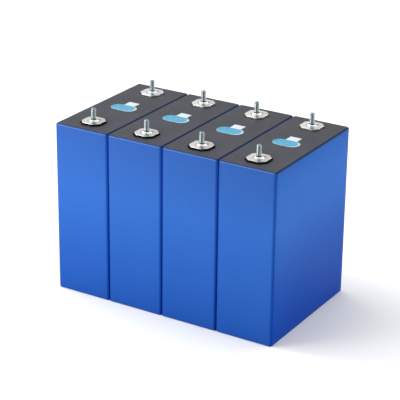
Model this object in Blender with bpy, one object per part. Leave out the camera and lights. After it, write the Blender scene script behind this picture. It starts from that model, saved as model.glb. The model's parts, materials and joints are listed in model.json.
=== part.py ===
"""Four prismatic lithium iron phosphate cells standing in a row, face to face.

Every cell is the same assembly: an aluminium can in a blue insulating sleeve, a lid with a
scored vent, a grey top board, two octagonal terminals with threaded studs, and the electrode
stack with its collectors inside. Cell 1 is at -X and cell 4 at +X. The negative terminals are
at -Y. The origin is on the floor, in the middle of the row. Units are metres and +Z is up.
"""

import math

import bmesh
import bpy
from mathutils import Vector

# Row
CELL_COUNT = 4
CELL_PITCH = 0.0725
GAP = 0.0003                      # air between two pieces that touch on the real cell
OVERCUT = 0.0020                  # how far a cutting body reaches past the face it opens
OVERLAP = 0.0010                  # how far a collar reaches up into the base it is joined to

# Cell outline
CELL_THICKNESS = 0.0720
CELL_WIDTH = 0.1740
SHOULDER_HEIGHT = 0.2064          # top of the sleeve's folded edge
CORNER_RADIUS = 0.0032
MIN_CORNER_RADIUS = 0.0006        # left on the inner outlines of deep insets
CORNER_STEPS = 3
CIRCLE_STEPS = 16

# Sleeve
FILM = 0.0004
SHOULDER_RADIUS = 0.0009
FOOT_RADIUS = 0.0012
LIP_INSET = 0.0046                # from the outer face to the edge of the folded film

# Can and lid
CAN_INSET = FILM + GAP
CAN_WALL = 0.0010
CAN_FLOOR = 0.0015
CAN_TOP = SHOULDER_HEIGHT - FILM - GAP
CAN_RIM_CHAMFER = 0.0007
CAN_FOOT_CHAMFER = 0.0008
LID_THICKNESS = 0.0025
LID_INSET = CAN_INSET + CAN_WALL + GAP
LID_BOTTOM = CAN_TOP - LID_THICKNESS

# Top board
BOARD_TOP = SHOULDER_HEIGHT + 0.0008
BOARD_INSET = 0.0014
BOARD_PAD_INSET = LIP_INSET + GAP

# Terminals
TERMINAL_OFFSET = 0.0615          # from the middle of the cell to a terminal's axis, along Y
PLATE_SIZE = 0.0250
PLATE_CHAMFER = 0.0058
PLATE_TOP = BOARD_TOP + 0.0024
PLATE_THICKNESS = 0.0020
PLATE_EDGE = 0.0002
POLE_RADIUS = 0.0060
RIVET_RADIUS = 0.0085
RIVET_THICKNESS = 0.0012
POLE_UNDER_SEAT = 0.0002          # from the stud's seat down to the pole's end in the plate

# Studs, M6, each with a round weld flange let into its plate
STUD_RADIUS = 0.0030
STUD_TIP = PLATE_TOP + 0.0150
STUD_END_RADIUS = 0.0017          # the flat end of the stud, inside its rounded tip
STUD_TIP_HEIGHT = 0.0010
FLANGE_RADIUS = 0.0058
FLANGE_RISE = 0.0016              # the flange's top above the plate
FLANGE_BEVEL = 0.0014
FLANGE_SEAT_DEPTH = 0.0007

# Insulators
NEGATIVE_BASE_SIZE = 0.0264
NEGATIVE_RIM_BELOW_PLATE = 0.0002
POSITIVE_BASE_SIZE = 0.0254
COLLAR_WALL = 0.0014
BOARD_TO_BASE = 0.0008            # from an insulator to its cut-out in the board

# Vent
VENT_OFFSET = -0.0008             # from the middle of the cell, along Y
VENT_LENGTH = 0.0290
VENT_WIDTH = 0.0150
VENT_MEMBRANE = 0.0003
VENT_FILM_LENGTH = 0.0328
VENT_FILM_WIDTH = 0.0190
VENT_FILM_THICKNESS = 0.0003
VENT_FILM_SHIFT = 0.0008          # the film is stuck on a little towards +X
VENT_STEPS = 6

# Inside
FRAME_THICKNESS = 0.0015
FRAME_INSET = LID_INSET + 0.0004
COLLECTOR_THICKNESS = 0.0012
COLLECTOR_WIDTH = 0.0360
COLLECTOR_TAB_LENGTH = 0.0260
COLLECTOR_FOOT_LENGTH = 0.0300
STACK_END_GAP = 0.0024            # from the stack to the can's narrow faces
STACK_SIDE_GAP = 0.0008           # from the stack to the can's large faces
STACK_RADIUS = 0.0040
STACK_EDGE = 0.0015
STACK_BOTTOM = CAN_INSET + CAN_FLOOR + 0.0010
STACK_TOP = 0.1930

FRAME_TOP = LID_BOTTOM - GAP
COLLECTOR_TOP = FRAME_TOP - FRAME_THICKNESS - GAP
RIVET_TOP = COLLECTOR_TOP - COLLECTOR_THICKNESS - GAP

COLOURS = {
    "sleeve_blue": ((0.045, 0.140, 0.540), 0.38, 0.0),
    "case_aluminium": ((0.780, 0.785, 0.790), 0.40, 1.0),
    "board_grey": ((0.105, 0.108, 0.125), 0.62, 0.0),
    "terminal_aluminium": ((0.860, 0.860, 0.850), 0.28, 1.0),
    "stud_steel": ((0.520, 0.590, 0.620), 0.24, 1.0),
    "insulator_black": ((0.012, 0.012, 0.014), 0.50, 0.0),
    "insulator_brown": ((0.090, 0.070, 0.058), 0.55, 0.0),
    "vent_film_blue": ((0.120, 0.480, 0.700), 0.22, 0.0),
    "frame_plastic": ((0.700, 0.700, 0.680), 0.55, 0.0),
    "collector_copper": ((0.850, 0.400, 0.250), 0.35, 1.0),
    "collector_aluminium": ((0.800, 0.800, 0.805), 0.38, 1.0),
    "stack_wrap": ((0.080, 0.085, 0.095), 0.60, 0.0),
}


def clear_scene():
    for obj in list(bpy.data.objects):
        bpy.data.objects.remove(obj, do_unlink=True)


def make_material(name):
    colour, roughness, metallic = COLOURS[name]
    material = bpy.data.materials.new(name)
    material.use_nodes = True
    shader = material.node_tree.nodes["Principled BSDF"]
    shader.inputs["Base Color"].default_value = (*colour, 1.0)
    shader.inputs["Roughness"].default_value = roughness
    shader.inputs["Metallic"].default_value = metallic
    material.diffuse_color = (*colour, 1.0)
    return material


# Outlines: lists of (x, y), counter-clockwise seen from above


def rounded_rectangle(half_x, half_y, radius, steps=CORNER_STEPS):
    points = []
    for quarter, (sx, sy) in enumerate(((1, 1), (-1, 1), (-1, -1), (1, -1))):
        centre = (sx * (half_x - radius), sy * (half_y - radius))
        for step in range(steps + 1):
            angle = math.pi / 2 * (quarter + step / steps)
            points.append(
                (centre[0] + radius * math.cos(angle), centre[1] + radius * math.sin(angle))
            )
    return points


def cell_outline(inset):
    """The cell's outer outline, moved in by inset."""
    radius = max(CORNER_RADIUS - inset, MIN_CORNER_RADIUS)
    return rounded_rectangle(CELL_THICKNESS / 2 - inset, CELL_WIDTH / 2 - inset, radius)


def octagon(size, chamfer, centre_y=0.0):
    half = size / 2
    cut = half - chamfer
    corners = [(half, cut), (cut, half), (-cut, half), (-half, cut)]
    corners += [(-x, -y) for x, y in corners]
    return [(x, y + centre_y) for x, y in corners]


def circle(radius, centre_y=0.0, steps=CIRCLE_STEPS):
    angles = [2 * math.pi * step / steps for step in range(steps)]
    return [(radius * math.cos(a), centre_y + radius * math.sin(a)) for a in angles]


def racetrack(length, width, centre=(0.0, VENT_OFFSET)):
    """A slot shape with round ends, its long side along X."""
    radius = width / 2
    reach = length / 2 - radius
    points = []
    for side, start in ((1, -math.pi / 2), (-1, math.pi / 2)):
        for step in range(VENT_STEPS + 1):
            angle = start + math.pi * step / VENT_STEPS
            x = centre[0] + side * reach + radius * math.cos(angle)
            points.append((x, centre[1] + radius * math.sin(angle)))
    return points


def terminal_chamfer(size):
    """Keeps the octagons round a plate parallel to the plate's own edges."""
    return PLATE_CHAMFER + (size - PLATE_SIZE) * (1 - math.sqrt(0.5))


# Meshes


def mesh_from(bm, name):
    bmesh.ops.recalc_face_normals(bm, faces=bm.faces)
    mesh = bpy.data.meshes.new(name)
    bm.to_mesh(mesh)
    bm.free()
    return mesh


def loft(name, rings):
    """A closed body through (outline, z) rings, capped at the first and the last."""
    bm = bmesh.new()
    loops = [[bm.verts.new((x, y, z)) for x, y in outline] for outline, z in rings]
    bm.faces.new(list(reversed(loops[0])))
    bm.faces.new(loops[-1])
    for lower, upper in zip(loops, loops[1:]):
        for i in range(len(lower)):
            j = (i + 1) % len(lower)
            bm.faces.new((lower[i], lower[j], upper[j], upper[i]))
    return mesh_from(bm, name)


def prism(name, outline, bottom, top):
    return loft(name, [(outline, bottom), (outline, top)])


def combine(name, base, steps):
    """Runs (operation, mesh) Boolean steps on base and returns the finished mesh."""
    body = bpy.data.objects.new(name, base)
    bpy.context.scene.collection.objects.link(body)
    tools = []
    for operation, mesh in steps:
        tool = bpy.data.objects.new(name + "_tool", mesh)
        tool.hide_render = True
        tool.display_type = "WIRE"
        bpy.context.scene.collection.objects.link(tool)
        modifier = body.modifiers.new(operation, "BOOLEAN")
        modifier.operation = operation
        modifier.object = tool
        modifier.solver = "EXACT"
        tools.append(tool)
    bpy.context.view_layer.update()
    graph = bpy.context.evaluated_depsgraph_get()
    result = bpy.data.meshes.new_from_object(body.evaluated_get(graph))
    result.name = name
    for obj in (body, *tools):
        bpy.data.objects.remove(obj, do_unlink=True)
    return result


def smooth(mesh, degrees=35):
    mesh.shade_smooth()
    mesh.set_sharp_from_angle(angle=math.radians(degrees))
    return mesh


# Casing


def build_sleeve():
    """Thin film with a rounded foot and a shoulder that folds in over the lid's edge."""
    rings = [(cell_outline(FOOT_RADIUS), 0.0)]
    rings.append((cell_outline(0.3 * FOOT_RADIUS), 0.3 * FOOT_RADIUS))
    rings.append((cell_outline(0.0), FOOT_RADIUS))
    centre_height = SHOULDER_HEIGHT - SHOULDER_RADIUS
    for degrees in (0, 30, 60, 90):
        angle = math.radians(degrees)
        inset = SHOULDER_RADIUS * (1 - math.cos(angle))
        rings.append((cell_outline(inset), centre_height + SHOULDER_RADIUS * math.sin(angle)))
    rings.append((cell_outline(LIP_INSET), SHOULDER_HEIGHT))
    rings.append((cell_outline(LIP_INSET), SHOULDER_HEIGHT - FILM))
    inner_radius = SHOULDER_RADIUS - FILM
    for degrees in (90, 45, 0):
        angle = math.radians(degrees)
        inset = SHOULDER_RADIUS - inner_radius * math.cos(angle)
        rings.append((cell_outline(inset), centre_height + inner_radius * math.sin(angle)))
    rings.append((cell_outline(FILM), FOOT_RADIUS))
    rings.append((cell_outline(FOOT_RADIUS), FILM))
    return smooth(loft("sleeve", rings))


def build_can():
    """Drawn aluminium can, open at the top, with a chamfered foot and rim."""
    inner_inset = CAN_INSET + CAN_WALL
    rings = [
        (cell_outline(CAN_INSET + CAN_FOOT_CHAMFER), CAN_INSET),
        (cell_outline(CAN_INSET), CAN_INSET + CAN_FOOT_CHAMFER),
        (cell_outline(CAN_INSET), CAN_TOP - CAN_RIM_CHAMFER),
        (cell_outline(CAN_INSET + CAN_RIM_CHAMFER), CAN_TOP),
        (cell_outline(inner_inset), CAN_TOP),
        (cell_outline(inner_inset), CAN_INSET + CAN_FLOOR),
    ]
    return smooth(loft("can", rings))


def build_lid():
    """Lid plate with two pole holes and a vent recess that leaves a thin membrane."""
    plate = prism("lid", cell_outline(LID_INSET), LID_BOTTOM, CAN_TOP)
    hole_radius = POLE_RADIUS + GAP + COLLAR_WALL + GAP
    below, above = LID_BOTTOM - OVERCUT, CAN_TOP + OVERCUT
    membrane_bottom = LID_BOTTOM + LID_THICKNESS / 2
    membrane_top = membrane_bottom + VENT_MEMBRANE
    vent = racetrack(VENT_LENGTH, VENT_WIDTH)
    steps = [
        ("DIFFERENCE", prism("hole", circle(hole_radius, side * TERMINAL_OFFSET), below, above))
        for side in (-1, 1)
    ]
    steps.append(("DIFFERENCE", prism("vent_top", vent, membrane_top, above)))
    steps.append(("DIFFERENCE", prism("vent_bottom", vent, below, membrane_bottom)))
    return combine("lid", plate, steps)


def build_top_board():
    """Board with a pad that drops inside the sleeve's lip, cut out round the terminals."""
    board_bottom = SHOULDER_HEIGHT + GAP
    plate = prism("board", cell_outline(BOARD_INSET), board_bottom, BOARD_TOP)
    pad_top = (board_bottom + BOARD_TOP) / 2
    pad = prism("pad", cell_outline(BOARD_PAD_INSET), CAN_TOP + GAP, pad_top)
    steps = [("UNION", pad)]
    below, above = CAN_TOP - OVERCUT, BOARD_TOP + OVERCUT
    for side, base_size in ((-1, NEGATIVE_BASE_SIZE), (1, POSITIVE_BASE_SIZE)):
        size = base_size + 2 * BOARD_TO_BASE
        outline = octagon(size, terminal_chamfer(size), side * TERMINAL_OFFSET)
        steps.append(("DIFFERENCE", prism("cut_out", outline, below, above)))
    vent = racetrack(VENT_LENGTH, VENT_WIDTH)
    steps.append(("DIFFERENCE", prism("vent_cut_out", vent, below, above)))
    return combine("top_board", plate, steps)


def build_vent_film():
    """Protective film stuck over the board's vent opening."""
    outline = racetrack(VENT_FILM_LENGTH, VENT_FILM_WIDTH, (VENT_FILM_SHIFT, VENT_OFFSET))
    bottom = BOARD_TOP + GAP
    return prism("vent_film", outline, bottom, bottom + VENT_FILM_THICKNESS)


# Terminals, built round their own axis and placed at (0, +-TERMINAL_OFFSET)


def build_terminal():
    """Octagonal plate with a round seat for the stud, and the pole riveted below."""
    outline = octagon(PLATE_SIZE, PLATE_CHAMFER)
    inner_size = PLATE_SIZE - 2 * PLATE_EDGE
    inner = octagon(inner_size, terminal_chamfer(inner_size))
    plate_bottom = PLATE_TOP - PLATE_THICKNESS
    seat_bottom = PLATE_TOP - FLANGE_SEAT_DEPTH
    plate = loft(
        "terminal",
        [(outline, plate_bottom), (outline, PLATE_TOP - PLATE_EDGE), (inner, PLATE_TOP)],
    )
    pole = loft(
        "pole",
        [
            (circle(RIVET_RADIUS), RIVET_TOP - RIVET_THICKNESS),
            (circle(RIVET_RADIUS), RIVET_TOP),
            (circle(POLE_RADIUS), RIVET_TOP),
            (circle(POLE_RADIUS), seat_bottom - POLE_UNDER_SEAT),
        ],
    )
    seat = prism("seat", circle(FLANGE_RADIUS + GAP), seat_bottom, PLATE_TOP + OVERCUT)
    return combine("terminal", plate, [("UNION", pole), ("DIFFERENCE", seat)])


def build_stud():
    """M6 stud on a bevelled weld flange, modelled as a plain pin of the thread's outer size."""
    flange_top = PLATE_TOP + FLANGE_RISE
    tip_radius = (STUD_RADIUS + STUD_END_RADIUS) / 2
    rings = [
        (circle(FLANGE_RADIUS), PLATE_TOP - FLANGE_SEAT_DEPTH + GAP),
        (circle(FLANGE_RADIUS), flange_top - FLANGE_BEVEL),
        (circle(FLANGE_RADIUS - FLANGE_BEVEL), flange_top),
        (circle(STUD_RADIUS), flange_top),
        (circle(STUD_RADIUS), STUD_TIP - STUD_TIP_HEIGHT),
        (circle(tip_radius), STUD_TIP - STUD_TIP_HEIGHT / 3),
        (circle(STUD_END_RADIUS), STUD_TIP),
    ]
    return smooth(loft("stud", rings))


def build_insulator(name, size, rim_top):
    """Octagonal base with a collar through the lid. A rim_top above the plate's underside
    makes the base a tray that holds the plate."""
    base_top = PLATE_TOP - PLATE_THICKNESS - GAP
    chamfer = terminal_chamfer(size)
    top = max(base_top, rim_top)
    base = prism(name, octagon(size, chamfer), CAN_TOP + GAP, top)
    bore_radius = POLE_RADIUS + GAP
    collar = prism("collar", circle(bore_radius + COLLAR_WALL), LID_BOTTOM, CAN_TOP + OVERLAP)
    bore = prism("bore", circle(bore_radius), LID_BOTTOM - OVERCUT, top + OVERCUT)
    steps = [("UNION", collar), ("DIFFERENCE", bore)]
    if rim_top > base_top:
        room = PLATE_SIZE + 2 * GAP
        seat = prism("room", octagon(room, terminal_chamfer(room)), base_top, top + OVERCUT)
        steps.append(("DIFFERENCE", seat))
    return combine(name, base, steps)


# Inside the can


def build_inner_frame():
    """Plastic plate under the lid that keeps the collectors off it, open under the vent."""
    frame_bottom = FRAME_TOP - FRAME_THICKNESS
    plate = prism("inner_frame", cell_outline(FRAME_INSET), frame_bottom, FRAME_TOP)
    below, above = frame_bottom - OVERCUT, FRAME_TOP + OVERCUT
    steps = [
        (
            "DIFFERENCE",
            prism("hole", circle(POLE_RADIUS + GAP, side * TERMINAL_OFFSET), below, above),
        )
        for side in (-1, 1)
    ]
    vent = racetrack(VENT_LENGTH, VENT_WIDTH)
    steps.append(("DIFFERENCE", prism("vent", vent, below, above)))
    return combine("inner_frame", plate, steps)


def build_collector():
    """Bent strip: a tab on the pole, a riser, and a foot on the stack's foil tails.

    It is built round the terminal's axis with the foot towards +Y."""
    foot_bottom = STACK_TOP + GAP
    half = COLLECTOR_TAB_LENGTH / 2
    riser = half + COLLECTOR_THICKNESS
    profile = [
        (-half, COLLECTOR_TOP),
        (-half, COLLECTOR_TOP - COLLECTOR_THICKNESS),
        (half, COLLECTOR_TOP - COLLECTOR_THICKNESS),
        (half, foot_bottom),
        (half + COLLECTOR_FOOT_LENGTH, foot_bottom),
        (half + COLLECTOR_FOOT_LENGTH, foot_bottom + COLLECTOR_THICKNESS),
        (riser, foot_bottom + COLLECTOR_THICKNESS),
        (riser, COLLECTOR_TOP),
    ]
    bm = bmesh.new()
    ends = [
        [bm.verts.new((x, y, z)) for y, z in profile]
        for x in (-COLLECTOR_WIDTH / 2, COLLECTOR_WIDTH / 2)
    ]
    bm.faces.new(ends[0])
    bm.faces.new(list(reversed(ends[1])))
    for i in range(len(profile)):
        j = (i + 1) % len(profile)
        bm.faces.new((ends[0][i], ends[1][i], ends[1][j], ends[0][j]))
    strip = mesh_from(bm, "collector")
    below = COLLECTOR_TOP - COLLECTOR_THICKNESS - OVERCUT
    bore = prism("bore", circle(POLE_RADIUS + GAP), below, COLLECTOR_TOP + OVERCUT)
    return combine("collector", strip, [("DIFFERENCE", bore)])


def build_electrode_stack():
    """Block of stacked electrodes and separators in its insulating wrap."""
    inner_inset = CAN_INSET + CAN_WALL
    half_x = CELL_THICKNESS / 2 - inner_inset - STACK_SIDE_GAP
    half_y = CELL_WIDTH / 2 - inner_inset - STACK_END_GAP
    body = rounded_rectangle(half_x, half_y, STACK_RADIUS)
    end_radius = STACK_RADIUS - STACK_EDGE
    end = rounded_rectangle(half_x - STACK_EDGE, half_y - STACK_EDGE, end_radius)
    rings = [
        (end, STACK_BOTTOM),
        (body, STACK_BOTTOM + STACK_EDGE),
        (body, STACK_TOP - STACK_EDGE),
        (end, STACK_TOP),
    ]
    return smooth(loft("electrode_stack", rings))


def pieces_of_a_cell():
    """(name, mesh, material, terminal side or 0, turned about Z) for each piece of one cell."""
    terminal = build_terminal()
    stud = build_stud()
    collector = build_collector()
    rim_top = PLATE_TOP - NEGATIVE_RIM_BELOW_PLATE
    negative_base = build_insulator("negative_insulator", NEGATIVE_BASE_SIZE, rim_top)
    positive_base = build_insulator("positive_insulator", POSITIVE_BASE_SIZE, 0.0)
    return [
        ("sleeve", build_sleeve(), "sleeve_blue", 0, False),
        ("can", build_can(), "case_aluminium", 0, False),
        ("lid", build_lid(), "case_aluminium", 0, False),
        ("top_board", build_top_board(), "board_grey", 0, False),
        ("vent_film", build_vent_film(), "vent_film_blue", 0, False),
        ("negative_terminal", terminal, "terminal_aluminium", -1, False),
        ("positive_terminal", terminal, "terminal_aluminium", 1, False),
        ("negative_stud", stud, "stud_steel", -1, False),
        ("positive_stud", stud, "stud_steel", 1, False),
        ("negative_insulator", negative_base, "insulator_black", -1, False),
        ("positive_insulator", positive_base, "insulator_brown", 1, False),
        ("inner_frame", build_inner_frame(), "frame_plastic", 0, False),
        ("negative_collector", collector, "collector_copper", -1, False),
        ("positive_collector", collector.copy(), "collector_aluminium", 1, True),
        ("electrode_stack", build_electrode_stack(), "stack_wrap", 0, False),
    ]


def place_cells():
    pieces = pieces_of_a_cell()
    materials = {name: make_material(name) for name in COLOURS}
    for _, mesh, material, _, _ in pieces:
        mesh.materials.clear()
        mesh.materials.append(materials[material])
    for index in range(CELL_COUNT):
        cell = bpy.data.objects.new(f"cell_{index + 1}_axis", None)
        cell.location = ((index - (CELL_COUNT - 1) / 2) * CELL_PITCH, 0.0, 0.0)
        bpy.context.scene.collection.objects.link(cell)
        for name, mesh, _, side, turned in pieces:
            piece = bpy.data.objects.new(f"cell_{index + 1}_{name}", mesh)
            bpy.context.scene.collection.objects.link(piece)
            piece.parent = cell
            piece.location = Vector((0.0, side * TERMINAL_OFFSET, 0.0))
            piece.rotation_euler = (0.0, 0.0, math.pi if turned else 0.0)


clear_scene()
place_cells()
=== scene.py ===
"""Looks for a row of four prismatic battery cells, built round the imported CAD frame.

Every cell has the same visible pieces: a shrunk blue film sleeve, a grey top board, a vent seal
and a blank label on the board, and at each end a terminal plate in its insulator, with a threaded
stud on it. Each is modelled round its own axis and then placed on every cell. The CAD nodes inside
the cells stay as they are and get their materials here. Units are metres, +Z is up.
"""

import json
import math

import bmesh
import bpy
from mathutils import Matrix, Vector, noise

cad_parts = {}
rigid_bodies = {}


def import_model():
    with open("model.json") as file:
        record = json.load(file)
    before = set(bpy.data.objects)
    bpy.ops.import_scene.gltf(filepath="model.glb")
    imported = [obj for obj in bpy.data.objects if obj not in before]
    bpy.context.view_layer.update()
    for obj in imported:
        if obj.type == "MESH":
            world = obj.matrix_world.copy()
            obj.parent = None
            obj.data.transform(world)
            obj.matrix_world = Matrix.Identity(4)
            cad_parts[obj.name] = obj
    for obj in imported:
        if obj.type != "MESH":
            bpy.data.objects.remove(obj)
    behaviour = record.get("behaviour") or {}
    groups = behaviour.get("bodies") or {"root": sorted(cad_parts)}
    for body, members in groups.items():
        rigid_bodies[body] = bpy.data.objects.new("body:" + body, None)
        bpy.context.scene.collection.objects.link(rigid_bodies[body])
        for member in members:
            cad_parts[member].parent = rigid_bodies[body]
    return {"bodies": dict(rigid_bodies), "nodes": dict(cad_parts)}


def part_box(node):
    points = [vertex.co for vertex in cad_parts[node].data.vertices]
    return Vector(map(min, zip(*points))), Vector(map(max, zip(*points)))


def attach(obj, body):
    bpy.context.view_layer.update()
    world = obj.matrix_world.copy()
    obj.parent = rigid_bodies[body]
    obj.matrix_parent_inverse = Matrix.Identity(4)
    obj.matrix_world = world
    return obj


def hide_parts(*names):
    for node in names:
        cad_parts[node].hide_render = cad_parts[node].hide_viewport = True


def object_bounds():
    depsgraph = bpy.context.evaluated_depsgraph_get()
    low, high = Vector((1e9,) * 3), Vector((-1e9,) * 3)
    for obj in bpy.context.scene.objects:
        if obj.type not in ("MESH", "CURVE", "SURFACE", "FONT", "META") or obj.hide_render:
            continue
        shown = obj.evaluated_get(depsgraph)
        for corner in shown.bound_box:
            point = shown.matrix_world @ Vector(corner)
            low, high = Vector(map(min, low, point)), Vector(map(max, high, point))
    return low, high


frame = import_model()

cad_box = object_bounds()

CELLS = sorted(frame["bodies"])

# Film sleeve
CORNER_RADIUS = 0.0032
INNER_CORNER = 0.0006
SHOULDER_RADIUS = 0.0009
FOOT_RADIUS = 0.0012
FILM = 0.0004
LIP_INSET = 0.0046                # from the outer face to the edge of the folded film
LIP_EASE = 0.0004                 # how far back from its edge the lip thins,
LIP_DROP = 0.00015                # and by how much
FILM_RELIEF = 0.00010             # how far the film's faces wander in from flat
SWELL_ACROSS = 21                 # noise scales of that wander, level
SWELL_UP = 14                     # and upwards
CALM_MARGIN = 0.0120              # within this of an edge the faces run out to flat
SLEEVE_GRID = 0.0110              # the longest step between the points of its flat faces
CORNER_STEPS = 8

# Film's tones, painted shade and painted highlight: where each starts to fade and where it has
# gone
FACE_DEPTH = (0.0009, 0.0012)     # a broad or a narrow face's reach, inwards from its plane, for its tone, painted shade and painted highlight
HEAD_SHADE_REACH = (0.0, 0.075)         # the painted shade at the head of a narrow face, down from the shoulder
BROAD_HEAD_SHADE_REACH = (0.0, 0.032)   # the painted shade at the head of a broad face
FOOT_SHADE_REACH = (0.0, 0.140)         # the painted shade at the foot of every face, up from the underside
BROAD_FOOT_SHADE_REACH = (0.0, 0.135)   # the deeper painted shade at the foot of a broad face
CORNER_SHADE_REACH = (0.0016, 0.0036)   # the painted shade round the upright corners, inwards
EDGE_SHADE_REACH = (0.0004, 0.0024)     # the painted shade in the gap along a broad face's upper edge, down
EDGE_SHADE_DEPTH = (0.0020, 0.0024)     # and inwards
FOLD_HIGHLIGHT_REACH = (0.0008, 0.0011)     # the painted highlight along the fold: its lower edge
FOLD_HIGHLIGHT_START = (0.0003, 0.0006)     # and the band over which it comes in

# Board and what is stuck on it
BOARD_OVER_LIP = 0.0003           # from the sleeve's fold to the board's overhanging edge
BOARD_EDGE = 0.0002
PAD_GAP = 0.0003                  # from the sleeve's lip to the board's pad
TERMINAL_GAP = 0.0008             # from an insulator to its cut-out in the board
VENT_LENGTH = 0.0290
VENT_WIDTH = 0.0150
SEAL_EDGE = 0.00012
DISC_ROOM = 0.0002                # kept over the clear film for the disc and its wrinkles
DISC_SHORTER = 0.0030             # than the clear film, in length,
DISC_NARROWER = 0.0009            # and in width
DISC_SHIFT = (-0.0011, 0.0001)    # from the clear film's middle
DISC_EDGE = 0.0001
DISC_EDGE_RISE = 0.00008
DISC_RISE = 0.0001
DISC_RINGS = 6
DISC_RING_WIDTH = 0.0013
DISC_RING_FALL = 0.00002          # from each ring to the next, inwards
DISC_WRINKLE = 0.00006
WRINKLE_SCALE = 240
LABEL_LENGTH = 0.0142
LABEL_WIDTH = 0.0124
LABEL_THICKNESS = 0.00014
LABEL_CORNER = 0.0008
LABEL_CENTRE_X = 0.0018
LAID_ON = 0.00003                 # from the board's face to the underside of what lies on it

# Terminals
PLATE_SIZE = 0.0250
PLATE_CHAMFER = 0.0058
PLATE_THICKNESS = 0.0020
PLATE_EDGE = 0.00030
PLATE_UNDER_EDGE = 0.0001
POLE_RADIUS = 0.0060
RIVET_RADIUS = 0.0085
RIVET_THICKNESS = 0.0012
RIVET_EDGE = 0.0003
FLANGE_RADIUS = 0.0058
FLANGE_RISE = 0.0016              # the weld flange's top above the plate
FLANGE_BEVEL = 0.0014
FLANGE_FOOT_EDGE = 0.0002
BEVEL_EASE = 0.00015              # its edges are eased this far along the side and the top,
BEVEL_DROP = 0.00012              # and this far, level and upright, on the bevel
GROOVE_RADIUS = 0.0036            # the groove round the stud's foot
GROOVE_DEPTH = 0.0007
GROOVE_EASE = 0.0001
SEAT_RADIUS = FLANGE_RADIUS + 0.0003
SEAT_DEPTH = 0.0007
BEAD_RADIUS = 0.00045
BEAD_MARGIN = 0.0003              # of plain plate, meshed apart, round the bead
BEAD_HEIGHT = 0.45                # of its radius
BEAD_RIPPLES = 44
BEAD_RIPPLE = 0.16                # of its height
BEAD_SLANT = 1.3                  # how far the ripples lean outwards, in radians
BEAD_STEPS = 6
DARK_PATCH_AT = (0.0040, 0.0050)      # the painted dark patch's middle, from the stud's axis
DARK_PATCH_RADIUS = 0.0034
WELD_TINT_AND_SHADE_WIDTH = 0.0020               # of the plate's weld tint round the flange, which is partly painted shade
SHADE_REACH = (-0.002, 0.009)     # painted shade, from the plate's middle towards +X
COLLAR_RADIUS = 0.0077
BORE_RADIUS = 0.0063
TRAY_FLOOR_GAP = 0.0003           # from the plate's underside to the insulator
TRAY_RIM_GAP = 0.0003             # from the plate's sides to the tray's rim
INSULATOR_EDGE = 0.00025

# Studs: M6 coarse thread
STUD_RADIUS = 0.0030
THREAD_PITCH = 0.0010
THREAD_DEPTH = 0.00034
THREAD_CREST = 0.13               # share of half a pitch that is crest,
THREAD_FLANK = 0.62               # and share that is flank
THREAD_RUN_OUT = 0.0012
NECK_RADIUS = STUD_RADIUS - 0.00012
NECK_FILLET = 0.0003
NECK_STEPS = 3
NECK_LENGTH = 0.0002
STUD_DOME = 0.0016
STUD_END_RADIUS = 0.0011
STUD_SIDES = 40
RINGS_PER_PITCH = 9
# radii where the painted shade in the thread's roots is full and where it has gone
ROOT_SHADE = (STUD_RADIUS - THREAD_DEPTH, STUD_RADIUS - 0.0001)
FLANGE_TONE = (GROOVE_RADIUS, GROOVE_RADIUS + 0.0002)
STUD_FOOT_SHADE = (0.0002, 0.0012)      # painted shade at the stud's foot, up from the weld flange

# Light and floor
DARK_SIDE = (26.0, 22.0)          # azimuth and elevation in degrees
DARK_COSINES = (0.50, 0.93)       # of the angles from its middle where it starts and is full
OVERHEAD_COSINES = (0.30, 0.85)   # the same for the bright sky, from straight up
WORLD_HORIZON = 0.88
WORLD_OVERHEAD = 1.22
WORLD_DARK = 0.15
SOFTBOX_AT = (-0.42, -0.56, 0.36)
SOFTBOX_SIZE = 0.35
SOFTBOX_POWER = 2.5
SUN_DISTANCE = 2.0
FLOOR_SIZE = 8.0
FLOOR_DROP = 0.0002               # under the cells' feet

# View
VIEW_AZIMUTH = 31.16              # degrees
VIEW_ELEVATION = 22.44
VIEW_ROLL = math.radians(0.71)
VIEW_DISTANCE = 1.8455
VIEW_LENS = 141.93
VIEW_OFFSET = Vector((-0.0036, 0.0025, 0.0))


# Outlines: each is a list of (x, y), counter-clockwise seen from above


def arc(centre, radius, start, turn, steps):
    points = []
    for step in range(steps + 1):
        angle = start + turn * step / steps
        points.append((centre[0] + radius * math.cos(angle), centre[1] + radius * math.sin(angle)))
    return points


def cut_side(a, b, pieces):
    """The points that cut the side from a to b into this many pieces, a included and b not."""
    shares = [i / pieces for i in range(pieces)]
    return [(a[0] + (b[0] - a[0]) * t, a[1] + (b[1] - a[1]) * t) for t in shares]


def divided(points, longest):
    """The closed outline with points added so that no side is longer than this."""
    result = []
    for a, b in zip(points, points[1:] + points[:1]):
        result += cut_side(a, b, max(1, math.ceil(math.dist(a, b) / longest)))
    return result


def rounded_rectangle(half_x, half_y, radius, steps=CORNER_STEPS, longest=None):
    points = []
    for quarter, (sx, sy) in enumerate(((1, 1), (-1, 1), (-1, -1), (1, -1))):
        centre = (sx * (half_x - radius), sy * (half_y - radius))
        points += arc(centre, radius, quarter * math.pi / 2, math.pi / 2, steps)
    return divided(points, longest) if longest else points


def octagon(size, chamfer, per_side):
    """A square with its corners cut, each of the eight sides in the same number of steps."""
    half = size / 2
    cut = half - chamfer
    corners = [(half, -cut), (half, cut), (cut, half), (-cut, half)]
    corners += [(-x, -y) for x, y in corners]
    points = []
    for a, b in zip(corners, corners[1:] + corners[:1]):
        points += cut_side(a, b, per_side)
    return points


def plate_octagon(size, per_side=6):
    """An octagon parallel to the terminal plate's own edges."""
    chamfer = PLATE_CHAMFER + (size - PLATE_SIZE) * (1 - math.sqrt(0.5))
    return octagon(size, chamfer, per_side)


def circle_like(outline, radius):
    """A circle with one point on the same bearing as each point of the outline."""
    return [(radius * x / math.hypot(x, y), radius * y / math.hypot(x, y)) for x, y in outline]


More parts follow.
